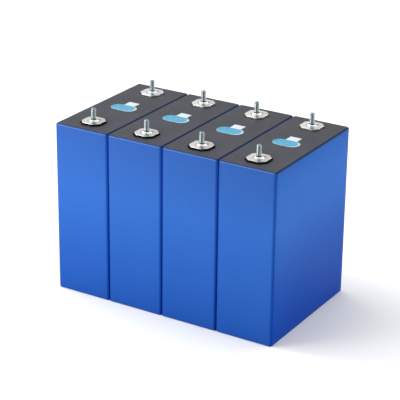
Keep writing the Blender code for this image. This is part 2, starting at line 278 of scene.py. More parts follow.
def racetrack(length, width, centre=(0.0, 0.0), steps=24):
    """A slot shape with round ends, its long side along X."""
    radius = width / 2
    reach = length / 2 - radius
    right = arc((centre[0] + reach, centre[1]), radius, -math.pi / 2, math.pi, steps)
    left = arc((centre[0] - reach, centre[1]), radius, math.pi / 2, math.pi, steps)
    return right + left


def shifted(outline, dx, dy):
    return [(x + dx, y + dy) for x, y in outline]


# Meshes


def finished(bm, name, sharp=32.0):
    bmesh.ops.recalc_face_normals(bm, faces=bm.faces)
    mesh = bpy.data.meshes.new(name)
    bm.to_mesh(mesh)
    bm.free()
    mesh.shade_smooth()
    mesh.set_sharp_from_angle(angle=math.radians(sharp))
    return mesh


def loop_of(bm, outline, z):
    return [bm.verts.new((x, y, z)) for x, y in outline]


def skin(bm, lower, upper, material=0):
    for i in range(len(lower)):
        j = (i + 1) % len(lower)
        bm.faces.new((lower[i], lower[j], upper[j], upper[i])).material_index = material


def skin_through(bm, loops):
    for lower, upper in zip(loops, loops[1:]):
        skin(bm, lower, upper)


def solid_through(bm, loops):
    """A skin through the loops, capped at both ends."""
    skin_through(bm, loops)
    bm.faces.new(loops[0][::-1])
    bm.faces.new(loops[-1])


def rounded_edge(top, radius, steps=3, sign=1):
    """(inset, z) pairs over a rounded upper edge, from the wall to the top face."""
    pairs = []
    for step in range(steps + 1):
        angle = math.pi / 2 * step / steps
        inset = radius * (1 - math.cos(angle))
        pairs.append((sign * inset, top - radius + radius * math.sin(angle)))
    return pairs


def fill_between(bm, loops):
    """Fills the flat region bounded by these closed loops, leaving the inner ones open."""
    edges = []
    for loop in loops:
        for a, b in zip(loop, loop[1:] + loop[:1]):
            edges.append(bm.edges.get((a, b)) or bm.edges.new((a, b)))
    bmesh.ops.triangle_fill(bm, edges=edges, use_beauty=True)


# Sizes read from the frame, for the first cell; the cells are all alike


def size_of(node):
    low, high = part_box(node)
    return high - low


sleeve_size = size_of("cell_1_sleeve")
board_size = size_of("cell_1_top_board")
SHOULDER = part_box("cell_1_sleeve")[1].z
BOARD_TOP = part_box("cell_1_top_board")[1].z
BOARD_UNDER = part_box("cell_1_top_board")[0].z
PLATE_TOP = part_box("cell_1_positive_terminal")[1].z
POLE_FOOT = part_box("cell_1_positive_terminal")[0].z
STUD_LOW, STUD_HIGH = (corner.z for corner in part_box("cell_1_positive_stud"))
terminal_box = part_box("cell_1_positive_terminal")
cell_middle = (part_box("cell_1_sleeve")[0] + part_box("cell_1_sleeve")[1]) / 2
TERMINAL_OFFSET = (terminal_box[0].y + terminal_box[1].y) / 2 - cell_middle.y
film_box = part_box("cell_1_vent_film")
film_middle = (film_box[0] + film_box[1]) / 2 - cell_middle
film_size = film_box[1] - film_box[0]


# Film sleeve


def sleeve_outline(inset):
    radius = max(CORNER_RADIUS - inset, INNER_CORNER)
    half_x, half_y = sleeve_size.x / 2 - inset, sleeve_size.y / 2 - inset
    points = rounded_rectangle(half_x, half_y, radius)
    # The straight sides are cut in the same number of steps at every inset.
    counts = (math.ceil(sleeve_size.x / SLEEVE_GRID), math.ceil(sleeve_size.y / SLEEVE_GRID))
    result = []
    for i, (a, b) in enumerate(zip(points, points[1:] + points[:1])):
        pieces = 1
        if i % (CORNER_STEPS + 1) == CORNER_STEPS:
            pieces = counts[0] if abs(a[1] - b[1]) < abs(a[0] - b[0]) else counts[1]
        result += cut_side(a, b, pieces)
    return result


def film_relief(x, y, z):
    """How far in the film lies here: nothing along the edges, gently uneven on the faces."""
    reach_x = sleeve_size.x / 2 - abs(x)
    reach_y = sleeve_size.y / 2 - abs(y)
    from_corner = max(reach_x, reach_y)
    from_end = min(z, SHOULDER - z)
    calm = min(1.0, from_corner / CALM_MARGIN) * min(1.0, from_end / CALM_MARGIN)
    where = Vector((x * SWELL_ACROSS, y * SWELL_ACROSS, z * SWELL_UP))
    swell = 0.5 + 0.5 * noise.noise(where)
    return FILM_RELIEF * calm * swell


def build_sleeve():
    bm = bmesh.new()
    rings = []
    foot_steps = 4
    for step in range(foot_steps + 1):
        angle = math.pi / 2 * step / foot_steps
        inset = FOOT_RADIUS * (1 - math.sin(angle))
        rings.append((inset, FOOT_RADIUS * (1 - math.cos(angle))))
    low, high = FOOT_RADIUS, SHOULDER - SHOULDER_RADIUS
    steps = math.ceil((high - low) / SLEEVE_GRID)
    rings += [(0.0, low + (high - low) * i / steps) for i in range(1, steps)]
    rings += rounded_edge(SHOULDER, SHOULDER_RADIUS, steps=7)
    rings += [(LIP_INSET - LIP_EASE, SHOULDER), (LIP_INSET, SHOULDER - LIP_DROP)]
    rings += [(LIP_INSET, SHOULDER - FILM), (SHOULDER_RADIUS, SHOULDER - FILM)]
    rings += [(FILM, SHOULDER - SHOULDER_RADIUS), (FILM, FOOT_RADIUS), (FOOT_RADIUS, FILM)]
    loops = [loop_of(bm, sleeve_outline(inset), z) for inset, z in rings]
    solid_through(bm, loops)
    first = foot_steps + 1
    for loop in loops[first:first + steps - 1]:
        for vert in loop:
            x, y, z = vert.co
            depth = film_relief(x, y, z)
            if sleeve_size.x / 2 - abs(x) < sleeve_size.y / 2 - abs(y):
                vert.co.x -= math.copysign(depth, x)
            else:
                vert.co.y -= math.copysign(depth, y)
    return finished(bm, "sleeve")


# Top board


def build_board():
    """A plate over the sleeve's lip and a pad inside it, open at the terminals and the vent."""
    bm = bmesh.new()
    plate_under = SHOULDER + BOARD_OVER_LIP
    half_x, half_y = board_size.x / 2, board_size.y / 2
    board_inset = (sleeve_size.x - board_size.x) / 2

    def outer(inset):
        radius = max(CORNER_RADIUS - board_inset - inset, INNER_CORNER)
        return rounded_rectangle(half_x - inset, half_y - inset, radius, steps=5)

    pad_inset = LIP_INSET + PAD_GAP - board_inset
    loops = [loop_of(bm, outer(pad_inset), BOARD_UNDER)]
    loops.append(loop_of(bm, outer(pad_inset), plate_under))
    loops.append(loop_of(bm, outer(0.0), plate_under))
    for inset, z in rounded_edge(BOARD_TOP, BOARD_EDGE):
        loops.append(loop_of(bm, outer(inset), z))
    loops.append(loop_of(bm, outer(2 * BOARD_EDGE), BOARD_TOP))
    skin_through(bm, loops)
    bottoms, tops = [loops[0]], [loops[-1]]

    def cut_out(outline_of):
        rings = [(0.0, BOARD_UNDER)]
        rings += rounded_edge(BOARD_TOP, BOARD_EDGE, sign=-1)
        rings.append((-2 * BOARD_EDGE, BOARD_TOP))
        made = [loop_of(bm, outline_of(inset), z) for inset, z in rings]
        skin_through(bm, made)
        bottoms.append(made[0])
        tops.append(made[-1])

    for side, name in ((-1, "negative"), (1, "positive")):
        base = size_of(f"cell_1_{name}_insulator").x + 2 * TERMINAL_GAP
        cut_out(
            lambda inset, base=base, side=side: shifted(
                plate_octagon(base - 2 * inset, 1), 0.0, side * TERMINAL_OFFSET
            )
        )
    cut_out(
        lambda inset: racetrack(
            VENT_LENGTH - 2 * inset, VENT_WIDTH - 2 * inset, (0.0, film_middle.y), steps=12
        )
    )
    fill_between(bm, bottoms)
    fill_between(bm, tops)
    return finished(bm, "board")


def build_vent_seal():
    """A thin clear film with a blue disc in it, lying over the board's vent opening."""
    bm = bmesh.new()
    low = BOARD_TOP + LAID_ON
    high = film_box[1].z - DISC_ROOM
    length, width = film_size.x, film_size.y

    def rim(inset):
        return racetrack(length - 2 * inset, width - 2 * inset)

    def disc(inset):
        disc_length, disc_width = length - DISC_SHORTER, width - DISC_NARROWER
        return racetrack(disc_length - 2 * inset, disc_width - 2 * inset, DISC_SHIFT)

    loops = [loop_of(bm, rim(SEAL_EDGE), low), loop_of(bm, rim(0.0), low + SEAL_EDGE / 2)]
    loops.append(loop_of(bm, rim(SEAL_EDGE / 2), high - SEAL_EDGE / 2))
    loops.append(loop_of(bm, rim(2 * SEAL_EDGE), high))
    loops.append(loop_of(bm, disc(-DISC_EDGE), high))
    rim_skins = len(loops) - 1
    loops.append(loop_of(bm, disc(0.0), high + DISC_EDGE_RISE))
    for i in range(1, DISC_RINGS + 1):
        z = high + DISC_RISE - DISC_RING_FALL * i
        loops.append(loop_of(bm, disc(DISC_RING_WIDTH * i), z))
    for k, (lower, upper) in enumerate(zip(loops, loops[1:])):
        skin(bm, lower, upper, material=1 if k < rim_skins else 0)
    bm.faces.new(loops[0][::-1]).material_index = 1
    bm.faces.new(loops[-1])
    for loop in loops[-DISC_RINGS:]:
        for vert in loop:
            vert.co.z += DISC_WRINKLE * noise.noise(vert.co * WRINKLE_SCALE)
    return finished(bm, "vent_seal")


def build_label():
    bm = bmesh.new()
    low = BOARD_TOP + LAID_ON
    high = low + LABEL_THICKNESS
    half_x, half_y = LABEL_LENGTH / 2, LABEL_WIDTH / 2
    rings = [(0.0, low)] + rounded_edge(high, LABEL_THICKNESS / 2)

    def outline(inset):
        return rounded_rectangle(half_x - inset, half_y - inset, LABEL_CORNER, longest=0.002)

    solid_through(bm, [loop_of(bm, outline(inset), z) for inset, z in rings])
    return finished(bm, "label")


# Terminals, modelled round their own axis


def build_terminal():
    """Octagonal plate with a rippled weld bead round the stud's seat, and its pole below."""
    bm = bmesh.new()
    edge = plate_octagon(PLATE_SIZE)

    def ring(radius, z):
        return circle_like(edge, radius), z

    def face(inset, z):
        return plate_octagon(PLATE_SIZE - 2 * inset), z

    rivet_top = POLE_FOOT + RIVET_THICKNESS
    under = PLATE_TOP - PLATE_THICKNESS
    rings = [ring(RIVET_RADIUS - RIVET_EDGE, POLE_FOOT)]
    rings += [ring(RIVET_RADIUS, POLE_FOOT + RIVET_EDGE)]
    rings += [ring(RIVET_RADIUS, rivet_top), ring(POLE_RADIUS, rivet_top)]
    rings += [ring(POLE_RADIUS, under)]
    rings += [face(PLATE_UNDER_EDGE, under), face(0.0, under + PLATE_UNDER_EDGE)]
    rings += [face(inset, z) for inset, z in rounded_edge(PLATE_TOP, PLATE_EDGE)]
    rings += [face(2 * PLATE_EDGE, PLATE_TOP)]
    bead_outer = SEAT_RADIUS + BEAD_RADIUS
    rings += [ring(bead_outer + BEAD_MARGIN, PLATE_TOP), ring(bead_outer, PLATE_TOP)]
    loops = [loop_of(bm, outline, z) for outline, z in rings]
    skin_through(bm, loops)
    bm.faces.new(loops[0][::-1])
    last = loops[-1]
    for step in range(1, BEAD_STEPS + 1):
        angle = math.pi * step / BEAD_STEPS
        loop = []
        for x, y in circle_like(edge, 1.0):
            bearing = math.atan2(y, x)
            phase = BEAD_RIPPLES * bearing + BEAD_SLANT * math.cos(angle)
            ripple = 1 + BEAD_RIPPLE * math.sin(phase)
            radius = SEAT_RADIUS + BEAD_RADIUS * math.cos(angle)
            height = BEAD_HEIGHT * BEAD_RADIUS * math.sin(angle) * ripple
            loop.append(bm.verts.new((radius * x, radius * y, PLATE_TOP + height)))
        skin(bm, last, loop)
        last = loop
    bottom = loop_of(bm, circle_like(edge, SEAT_RADIUS - BEAD_RADIUS), PLATE_TOP - SEAT_DEPTH)
    skin(bm, last, bottom)
    bm.faces.new(bottom)
    return finished(bm, "terminal")


def thread_depth(z, bearing):
    """0 on the thread's crest and 1 in its root, at this height and bearing."""
    turn = (z / THREAD_PITCH - bearing / (2 * math.pi)) % 1.0
    from_crest = min(turn, 1 - turn) * 2
    return min(1.0, max(0.0, (from_crest - THREAD_CREST) / THREAD_FLANK))


def build_stud():
    """Flange, plain neck, and a rolled thread that runs out at the neck and the domed tip."""
    bm = bmesh.new()
    bearings = [2 * math.pi * i / STUD_SIDES for i in range(STUD_SIDES)]

    def ring(radius, z):
        return [bm.verts.new((radius * math.cos(a), radius * math.sin(a), z)) for a in bearings]

    flange_top = PLATE_TOP + FLANGE_RISE
    bevel_foot = flange_top - FLANGE_BEVEL
    bevel_top_radius = FLANGE_RADIUS - FLANGE_BEVEL
    loops = [ring(FLANGE_RADIUS - FLANGE_FOOT_EDGE, STUD_LOW)]
    loops.append(ring(FLANGE_RADIUS, STUD_LOW + FLANGE_FOOT_EDGE))
    loops.append(ring(FLANGE_RADIUS, bevel_foot - BEVEL_EASE))
    loops.append(ring(FLANGE_RADIUS - BEVEL_DROP, bevel_foot + BEVEL_DROP))
    loops.append(ring(bevel_top_radius + BEVEL_EASE, flange_top - BEVEL_DROP))
    loops.append(ring(bevel_top_radius - BEVEL_EASE, flange_top))
    loops.append(ring(GROOVE_RADIUS + GROOVE_EASE, flange_top))
    loops.append(ring(GROOVE_RADIUS, flange_top - GROOVE_EASE))
    loops.append(ring(GROOVE_RADIUS - GROOVE_EASE, flange_top - GROOVE_DEPTH))
    groove_floor = flange_top - GROOVE_DEPTH
    for step in range(NECK_STEPS + 1):
        angle = math.pi / 2 * step / NECK_STEPS
        radius = NECK_RADIUS + NECK_FILLET * (1 - math.sin(angle))
        loops.append(ring(radius, groove_floor + NECK_FILLET * (1 - math.cos(angle))))
    start = groove_floor + NECK_FILLET + NECK_LENGTH
    dome_foot = STUD_HIGH - STUD_DOME
    steps = round((STUD_HIGH - start) / THREAD_PITCH * RINGS_PER_PITCH)
    for step in range(steps + 1):
        z = start + (STUD_HIGH - start) * step / steps
        run_in = min(1.0, (z - start) / THREAD_RUN_OUT)
        rise = max(0.0, z - dome_foot) / STUD_DOME
        rounded = math.sqrt(max(0.0, 1.0 - rise * rise))
        limit = STUD_END_RADIUS + (STUD_RADIUS - STUD_END_RADIUS) * rounded
        loop = []
        for a in bearings:
            radius = NECK_RADIUS + (STUD_RADIUS - NECK_RADIUS) * run_in
            radius -= THREAD_DEPTH * run_in * thread_depth(z, a)
            radius = min(radius, limit)
            loop.append(bm.verts.new((radius * math.cos(a), radius * math.sin(a), z)))
        loops.append(loop)
    solid_through(bm, loops)
    return finished(bm, "stud", sharp=48)


def build_insulator(name):
    """Octagonal base with a collar down through the lid, and a rim where the CAD has one."""
    low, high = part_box(f"cell_1_{name}_insulator")
    base = high.x - low.x
    seat = PLATE_TOP - PLATE_THICKNESS - TRAY_FLOOR_GAP
    edge = plate_octagon(base)
    rings = [(circle_like(edge, BORE_RADIUS), low.z), (circle_like(edge, COLLAR_RADIUS), low.z)]
    rings += [(circle_like(edge, COLLAR_RADIUS), BOARD_UNDER), (edge, BOARD_UNDER)]
    rings += [
        (plate_octagon(base - 2 * inset), z)
        for inset, z in rounded_edge(high.z, INSULATOR_EDGE)
    ]
    has_rim = high.z > PLATE_TOP - PLATE_THICKNESS
    if has_rim:
        room = PLATE_SIZE + 2 * TRAY_RIM_GAP
        rings += [(plate_octagon(room), high.z), (plate_octagon(room), seat)]
    else:
        rings.append((plate_octagon(base - 4 * INSULATOR_EDGE), high.z))
    rings.append((circle_like(edge, BORE_RADIUS), min(seat, high.z)))
    bm = bmesh.new()
    loops = [loop_of(bm, outline, z) for outline, z in rings]
    skin_through(bm, loops + loops[:1])
    return finished(bm, name + "_insulator")


# Materials


class Finish:
    """A Principled material and short ways to add nodes to it."""

    def __init__(self, name, colour, roughness, metallic=0.0, **sockets):
        self.material = bpy.data.materials.new(name)
        self.material.use_nodes = True
        self.tree = self.material.node_tree
        self.shader = self.tree.nodes["Principled BSDF"]
        self.colour, self.roughness = colour, roughness
        self.shader.inputs["Base Color"].default_value = (*colour, 1.0)
        self.shader.inputs["Roughness"].default_value = roughness
        self.shader.inputs["Metallic"].default_value = metallic
        for socket, value in sockets.items():
            self.shader.inputs[socket.replace("_", " ")].default_value = value
        self.material.diffuse_color = (*colour, 1.0)
        self.coordinates = self.node("ShaderNodeTexCoord").outputs["Object"]

    def node(self, kind, inputs=None, **settings):
        node = self.tree.nodes.new(kind)
        for key, value in settings.items():
            setattr(node, key, value)
        for key, value in (inputs or {}).items():
            self.put(value, node.inputs[key])
        return node

    def put(self, value, socket):
        if isinstance(value, bpy.types.NodeSocket):
            self.tree.links.new(value, socket)
        else:
            socket.default_value = value

    def math(self, operation, a, b=0.0, clamp=False):
        node = self.node("ShaderNodeMath", {0: a, 1: b}, operation=operation, use_clamp=clamp)
        return node.outputs[0]

    def stretched(self, stretch):
        node = self.node("ShaderNodeMapping", {"Vector": self.coordinates, "Scale": stretch})
        return node.outputs[0]

    def noise(self, scale, detail=3.0, stretch=None):
        where = self.stretched(stretch) if stretch else self.coordinates
        inputs = {"Vector": where, "Scale": scale, "Detail": detail}
        return self.node("ShaderNodeTexNoise", inputs).outputs[0]

    def spread(self, value, low, high, from_low=0.3, from_high=0.7):
        inputs = {0: value, 1: from_low, 2: from_high, 3: low, 4: high}
        return self.node("ShaderNodeMapRange", inputs).outputs[0]

    def fade(self, value, reach, strength=1.0):
        """Full strength up to the first of the two places in reach, nothing past the second."""
        return self.spread(value, strength, 0.0, *reach)

    def blend(self, factor, first, second):
        """Mixes two colours, which are tuples or sockets."""
        node = self.node("ShaderNodeMix", data_type="RGBA")
        self.put(factor, node.inputs[0])
        for value, socket in ((first, node.inputs[6]), (second, node.inputs[7])):
            self.put((*value, 1.0) if isinstance(value, tuple) else value, socket)
        return node.outputs[2]

    def split(self):
        """The three coordinates on the piece, each a socket."""
        return self.node("ShaderNodeSeparateXYZ", {0: self.coordinates}).outputs

    def radius(self, centre=(0.0, 0.0)):
        """Distance from an upright line through centre, by default the piece's own axis."""
        split = self.split()
        x = self.math("SUBTRACT", split[0], centre[0])
        y = self.math("SUBTRACT", split[1], centre[1])
        squares = self.math("ADD", self.math("MULTIPLY", x, x), self.math("MULTIPLY", y, y))
        return self.math("SQRT", squares)

    def painted_dark_patch(self):
        """Nearly 1 in the painted dark patch of shade beside the flange, towards +X and +Y."""
        return self.fade(self.radius(DARK_PATCH_AT), (0.3 * DARK_PATCH_RADIUS, DARK_PATCH_RADIUS), 0.95)

    def bumps(self, *layers):
        """Bump layers as (height, depth in metres), each on top of the one before."""
        normal = None
        for height, depth in layers:
            inputs = {"Height": height, "Strength": 1.0, "Distance": depth}
            node = self.node("ShaderNodeBump", inputs)
            if normal is not None:
                self.tree.links.new(normal, node.inputs["Normal"])
            normal = node.outputs[0]
        self.tree.links.new(normal, self.shader.inputs["Normal"])

    def mottled(self, pattern, dark, light):
        """The finish's colour, from dark times to light times as bright."""
        return self.blend(
            self.spread(pattern, 0.0, 1.0), scaled(self.colour, dark), scaled(self.colour, light)
        )

    def base(self, colour):
        self.tree.links.new(colour, self.shader.inputs["Base Color"])

    def rough(self, pattern, less, more):
        """Roughness that follows the pattern, from less under the finish's own to more over it."""
        value = self.spread(pattern, self.roughness - less, self.roughness + more)
        self.tree.links.new(value, self.shader.inputs["Roughness"])


def scaled(colour, factor):
    return tuple(min(1.0, channel * factor) for channel in colour)


def sleeve_film():
    """Blue polyester film with a fine orange peel, faint draw lines and scuffs.

    It has painted shade round the upright corners, in the gaps along the broad faces' top edges,
    below the shoulder and towards the foot, most of all on the broad faces, and a painted
    highlight where it folds over the narrow faces' top edges. The broad faces' tone is made less
    red to offset the sheen they catch."""
    f = Finish("sleeve_blue", (0.033, 0.139, 0.508), 0.34, Specular_IOR_Level=0.04)
    cloud = f.noise(9.0, 2.0)
    fine = f.noise(420.0, 2.0)
    colour = f.mottled(cloud, 0.95, 1.05)
    scuff = f.noise(150.0, 4.0, stretch=(1.0, 1.0, 0.12))
    marks = f.spread(scuff, 0.0, 0.10, 0.66, 0.80)
    colour = f.blend(marks, colour, (0.110, 0.240, 0.640))
    x, y, height = f.split()
    in_x = f.math("SUBTRACT", sleeve_size.x / 2, f.math("ABSOLUTE", x))
    in_y = f.math("SUBTRACT", sleeve_size.y / 2, f.math("ABSOLUTE", y))
    below_top = f.math("SUBTRACT", SHOULDER, height)
    broad_face = f.fade(in_x, FACE_DEPTH)
    narrow_face = f.fade(in_y, FACE_DEPTH)
    # painted light: the broad faces are made less red to offset the sheen they catch, not a tone
    # of the film itself
    colour = f.blend(broad_face, colour, (0.019, 0.133, 0.525))
    # painted shade: the narrow faces darker below the shoulder
    head_shade = f.math("MULTIPLY", f.fade(below_top, HEAD_SHADE_REACH, 0.55), narrow_face)
    colour = f.blend(head_shade, colour, (0.030, 0.080, 0.300))
    # painted shade: every face darker towards the foot
    colour = f.blend(f.fade(height, FOOT_SHADE_REACH), colour, (0.014, 0.086, 0.400))
    # painted shade: deeper still towards the foot of the broad faces
    foot_shade = f.math("MULTIPLY", f.fade(height, BROAD_FOOT_SHADE_REACH), broad_face)
    colour = f.blend(foot_shade, colour, (0.0, 0.053, 0.385))
    # painted shade: the broad faces darker just below the shoulder
    head_shade = f.math("MULTIPLY", f.fade(below_top, BROAD_HEAD_SHADE_REACH, 0.4), broad_face)
    colour = f.blend(head_shade, colour, (0.006, 0.070, 0.330))
    # painted shade: darker round the upright corners
    corner = f.fade(f.math("MAXIMUM", in_x, in_y), CORNER_SHADE_REACH, 0.55)
    colour = f.blend(corner, colour, (0.001, 0.042, 0.340))
    # painted shadow in the gaps between cells, along the broad faces' upper edges
    edge = f.math("MULTIPLY", f.fade(below_top, EDGE_SHADE_REACH, 0.9), f.fade(in_x, EDGE_SHADE_DEPTH))
    colour = f.blend(edge, colour, (0.010, 0.022, 0.085))
    # painted highlight along the fold at the narrow faces' top edges
    fold_highlight = f.fade(below_top, FOLD_HIGHLIGHT_REACH)
    fold_highlight = f.math("MULTIPLY", fold_highlight, f.spread(below_top, 0.0, 1.0, *FOLD_HIGHLIGHT_START))
    fold_highlight = f.math("MULTIPLY", fold_highlight, f.math("SUBTRACT", narrow_face, corner, clamp=True))
    fold_highlight = f.math("MULTIPLY", fold_highlight, f.spread(fine, 0.5, 0.95))
    f.base(f.blend(fold_highlight, colour, (0.165, 0.265, 0.520)))
    f.rough(cloud, 0.04, 0.05)
    f.bumps((cloud, 0.00030), (scuff, 0.00001), (fine, 0.000012))
    return f.material


def board_sheet():
    """Dark grey moulded board with a fine matt grain and a few pale dust specks."""
    f = Finish("board_grey", (0.043, 0.045, 0.056), 0.55, Specular_IOR_Level=0.12)
    cloud = f.noise(26.0, 3.0)
    grain = f.noise(1900.0, 2.0)
    colour = f.mottled(cloud, 0.86, 1.16)
    colour = f.blend(f.spread(grain, 0.0, 0.35), colour, (0.075, 0.078, 0.092))
    specks = f.noise(1300.0, 0.0)
    f.base(f.blend(f.spread(specks, 0.0, 0.4, 0.79, 0.82), colour, (0.300, 0.300, 0.310)))
    f.rough(grain, 0.06, 0.08)
    f.bumps((cloud, 0.00006), (grain, 0.000020))
    return f.material


def terminal_metal(name, tone):
    """Laser-cleaned aluminium: patches and tool marks, a weld tint round the flange that is partly
    painted shade, and a painted dark patch of shade beside the flange.

    It has painted shade towards +X, and a tone below 1 makes a darker copy that paints the whole
    plate in shade, all but the weld tint and the dark patch."""
    f = Finish(name, scaled((0.780, 0.770, 0.755), tone), 0.24, 1.0)
    lines = f.noise(700.0, 3.0, stretch=(0.06, 1.0, 1.0))
    dents = f.noise(260.0, 3.0)
    patches = f.noise(150.0, 2.0)
    # weld tint round the flange's foot: partly heat tint, partly painted shade where the flange
    # meets the plate
    weld_tint_and_shade = f.fade(f.radius(), (FLANGE_RADIUS, FLANGE_RADIUS + WELD_TINT_AND_SHADE_WIDTH))
    weld_tint_and_shade = f.math("MULTIPLY", weld_tint_and_shade, f.spread(patches, 0.15, 1.0, 0.40, 0.60))
    dull, bright = scaled((0.640, 0.625, 0.605), tone), scaled((0.840, 0.835, 0.820), tone)
    colour = f.blend(f.spread(patches, 0.0, 0.6, 0.50, 0.66), f.colour, dull)
    colour = f.blend(f.spread(lines, 0.0, 0.4), colour, bright)
    colour = f.blend(weld_tint_and_shade, colour, (0.320, 0.305, 0.290))
    # painted shade: the plate darker towards +X, away from the key light
    shade = f.spread(f.split()[0], 0.0, 0.45, *SHADE_REACH)
    colour = f.blend(shade, colour, scaled((0.480, 0.475, 0.465), tone ** 3))
    # painted shade: a dark patch on the plate beside the flange
    f.base(f.blend(f.painted_dark_patch(), colour, (0.130, 0.125, 0.120)))
    f.rough(patches, 0.06, 0.14)
    f.bumps((patches, 0.00004), (dents, 0.00003), (lines, 0.000010))
    return f.material


def stud_metal():
    """Zinc-plated steel with painted shade in the thread's roots and at its foot, on a pale weld
    flange that carries the painted dark patch.
    """
    f = Finish("stud_steel", (0.380, 0.455, 0.480), 0.22, 1.0)
    cloud = f.noise(600.0, 3.0)
    radius = f.radius()
    # painted shade in the thread's roots
    root = f.fade(radius, ROOT_SHADE, 0.8)
    colour = f.blend(f.spread(cloud, 0.0, 0.5), f.colour, (0.310, 0.375, 0.400))
    colour = f.blend(root, colour, (0.200, 0.245, 0.262))
    flange = f.spread(radius, 0.0, 1.0, *FLANGE_TONE)
    colour = f.blend(flange, colour, (0.800, 0.800, 0.800))
    # painted shade: the same dark patch on the flange
    colour = f.blend(f.math("MULTIPLY", f.painted_dark_patch(), flange), colour, (0.130, 0.125, 0.120))
    above = f.math("SUBTRACT", f.split()[2], PLATE_TOP + FLANGE_RISE)
    # painted shade at the stud's foot, just above the flange
    foot_shade = f.math("SUBTRACT", f.fade(above, STUD_FOOT_SHADE, 0.9), flange, clamp=True)
    f.base(f.blend(foot_shade, colour, (0.050, 0.052, 0.055)))
    f.rough(cloud, 0.05, 0.12)
    f.bumps((cloud, 0.000012))
    return f.material


def moulded(name, colour, roughness, **sockets):
    """Moulded plastic with a spark-eroded grain and a slow change of tone."""
    f = Finish(name, colour, roughness, **sockets)
    grain = f.noise(1500.0, 2.0)
    cloud = f.noise(60.0, 2.0)
    f.base(f.mottled(cloud, 0.85, 1.18))
    f.rough(grain, 0.08, 0.08)
    f.bumps((cloud, 0.00003), (grain, 0.000015))
    return f.material


def seal_blue():
    """Sky-blue film with slight wrinkles and an adhesive that shows through unevenly."""
    f = Finish("vent_film_blue", (0.036, 0.290, 0.465), 0.26, Specular_IOR_Level=0.25)
    cloud = f.noise(130.0, 3.0)
    fine = f.noise(900.0, 2.0)
    f.base(f.mottled(cloud, 0.90, 1.12))
    f.rough(fine, 0.05, 0.08)
    f.bumps((cloud, 0.00010), (fine, 0.00001))
    return f.material


def seal_rim():
    """The clear film's margin: pale grey-blue where its adhesive lies on the board."""
    f = Finish("vent_film_rim", (0.420, 0.520, 0.580), 0.22, Specular_IOR_Level=0.4)
    cloud = f.noise(200.0, 3.0)
    f.base(f.mottled(cloud, 0.85, 1.20))
    f.rough(cloud, 0.05, 0.10)
    f.bumps((cloud, 0.00008))
    return f.material


def label_paper():
    """Blank white label: coated paper with faint fibres."""
    f = Finish("label_white", (0.600, 0.650, 0.680), 0.50, Specular_IOR_Level=0.2)
    fibres = f.noise(700.0, 4.0, stretch=(0.35, 1.0, 1.0))
    cloud = f.noise(90.0, 2.0)
    f.base(f.blend(f.spread(fibres, 0.0, 0.7), f.colour, (0.540, 0.590, 0.620)))
    f.rough(cloud, 0.06, 0.06)
    f.bumps((cloud, 0.00003), (fibres, 0.000012))
    return f.material


def sheet_metal(name, colour, roughness, stretch):
    """Drawn or rolled sheet, with its lines along the short factor of stretch."""
    f = Finish(name, colour, roughness, 1.0)
    lines = f.noise(300.0, 3.0, stretch=stretch)
    cloud = f.noise(30.0, 3.0)
    tone = f.blend(f.spread(lines, 0.0, 0.6), colour, scaled(colour, 0.82))
    f.base(f.blend(f.spread(cloud, 0.0, 0.4), tone, scaled(colour, 0.72)))
    f.rough(lines, 0.08, 0.12)
    f.bumps((cloud, 0.00005), (lines, 0.00001))
    return f.material


def stack_wrap():
    """Dark film wrapped round the electrode stack, with the sheet edges printing through."""
    f = Finish("stack_wrap", (0.080, 0.085, 0.095), 0.50, Specular_IOR_Level=0.4)
    sheets = f.noise(900.0, 2.0, stretch=(1.0, 0.03, 0.03))
    cloud = f.noise(30.0, 2.0)
    f.base(f.mottled(sheets, 0.7, 1.5))
    f.rough(cloud, 0.08, 0.08)
    f.bumps((cloud, 0.0002), (sheets, 0.00003))
    return f.material


def backdrop_white():
    f = Finish("backdrop_white", (0.910, 0.905, 0.890), 0.75, Specular_IOR_Level=0.2)
    cloud = f.noise(3.0, 2.0)
    f.base(f.mottled(cloud, 0.995, 1.0))
    return f.material


# Placing the pieces on the cells


def place(name, mesh, body, at, replaced=()):
    piece = bpy.data.objects.new(name, mesh.copy())
    piece.data.name = name
    bpy.context.scene.collection.objects.link(piece)
    piece.location = at
    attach(piece, body)
    if replaced:
        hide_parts(*replaced)


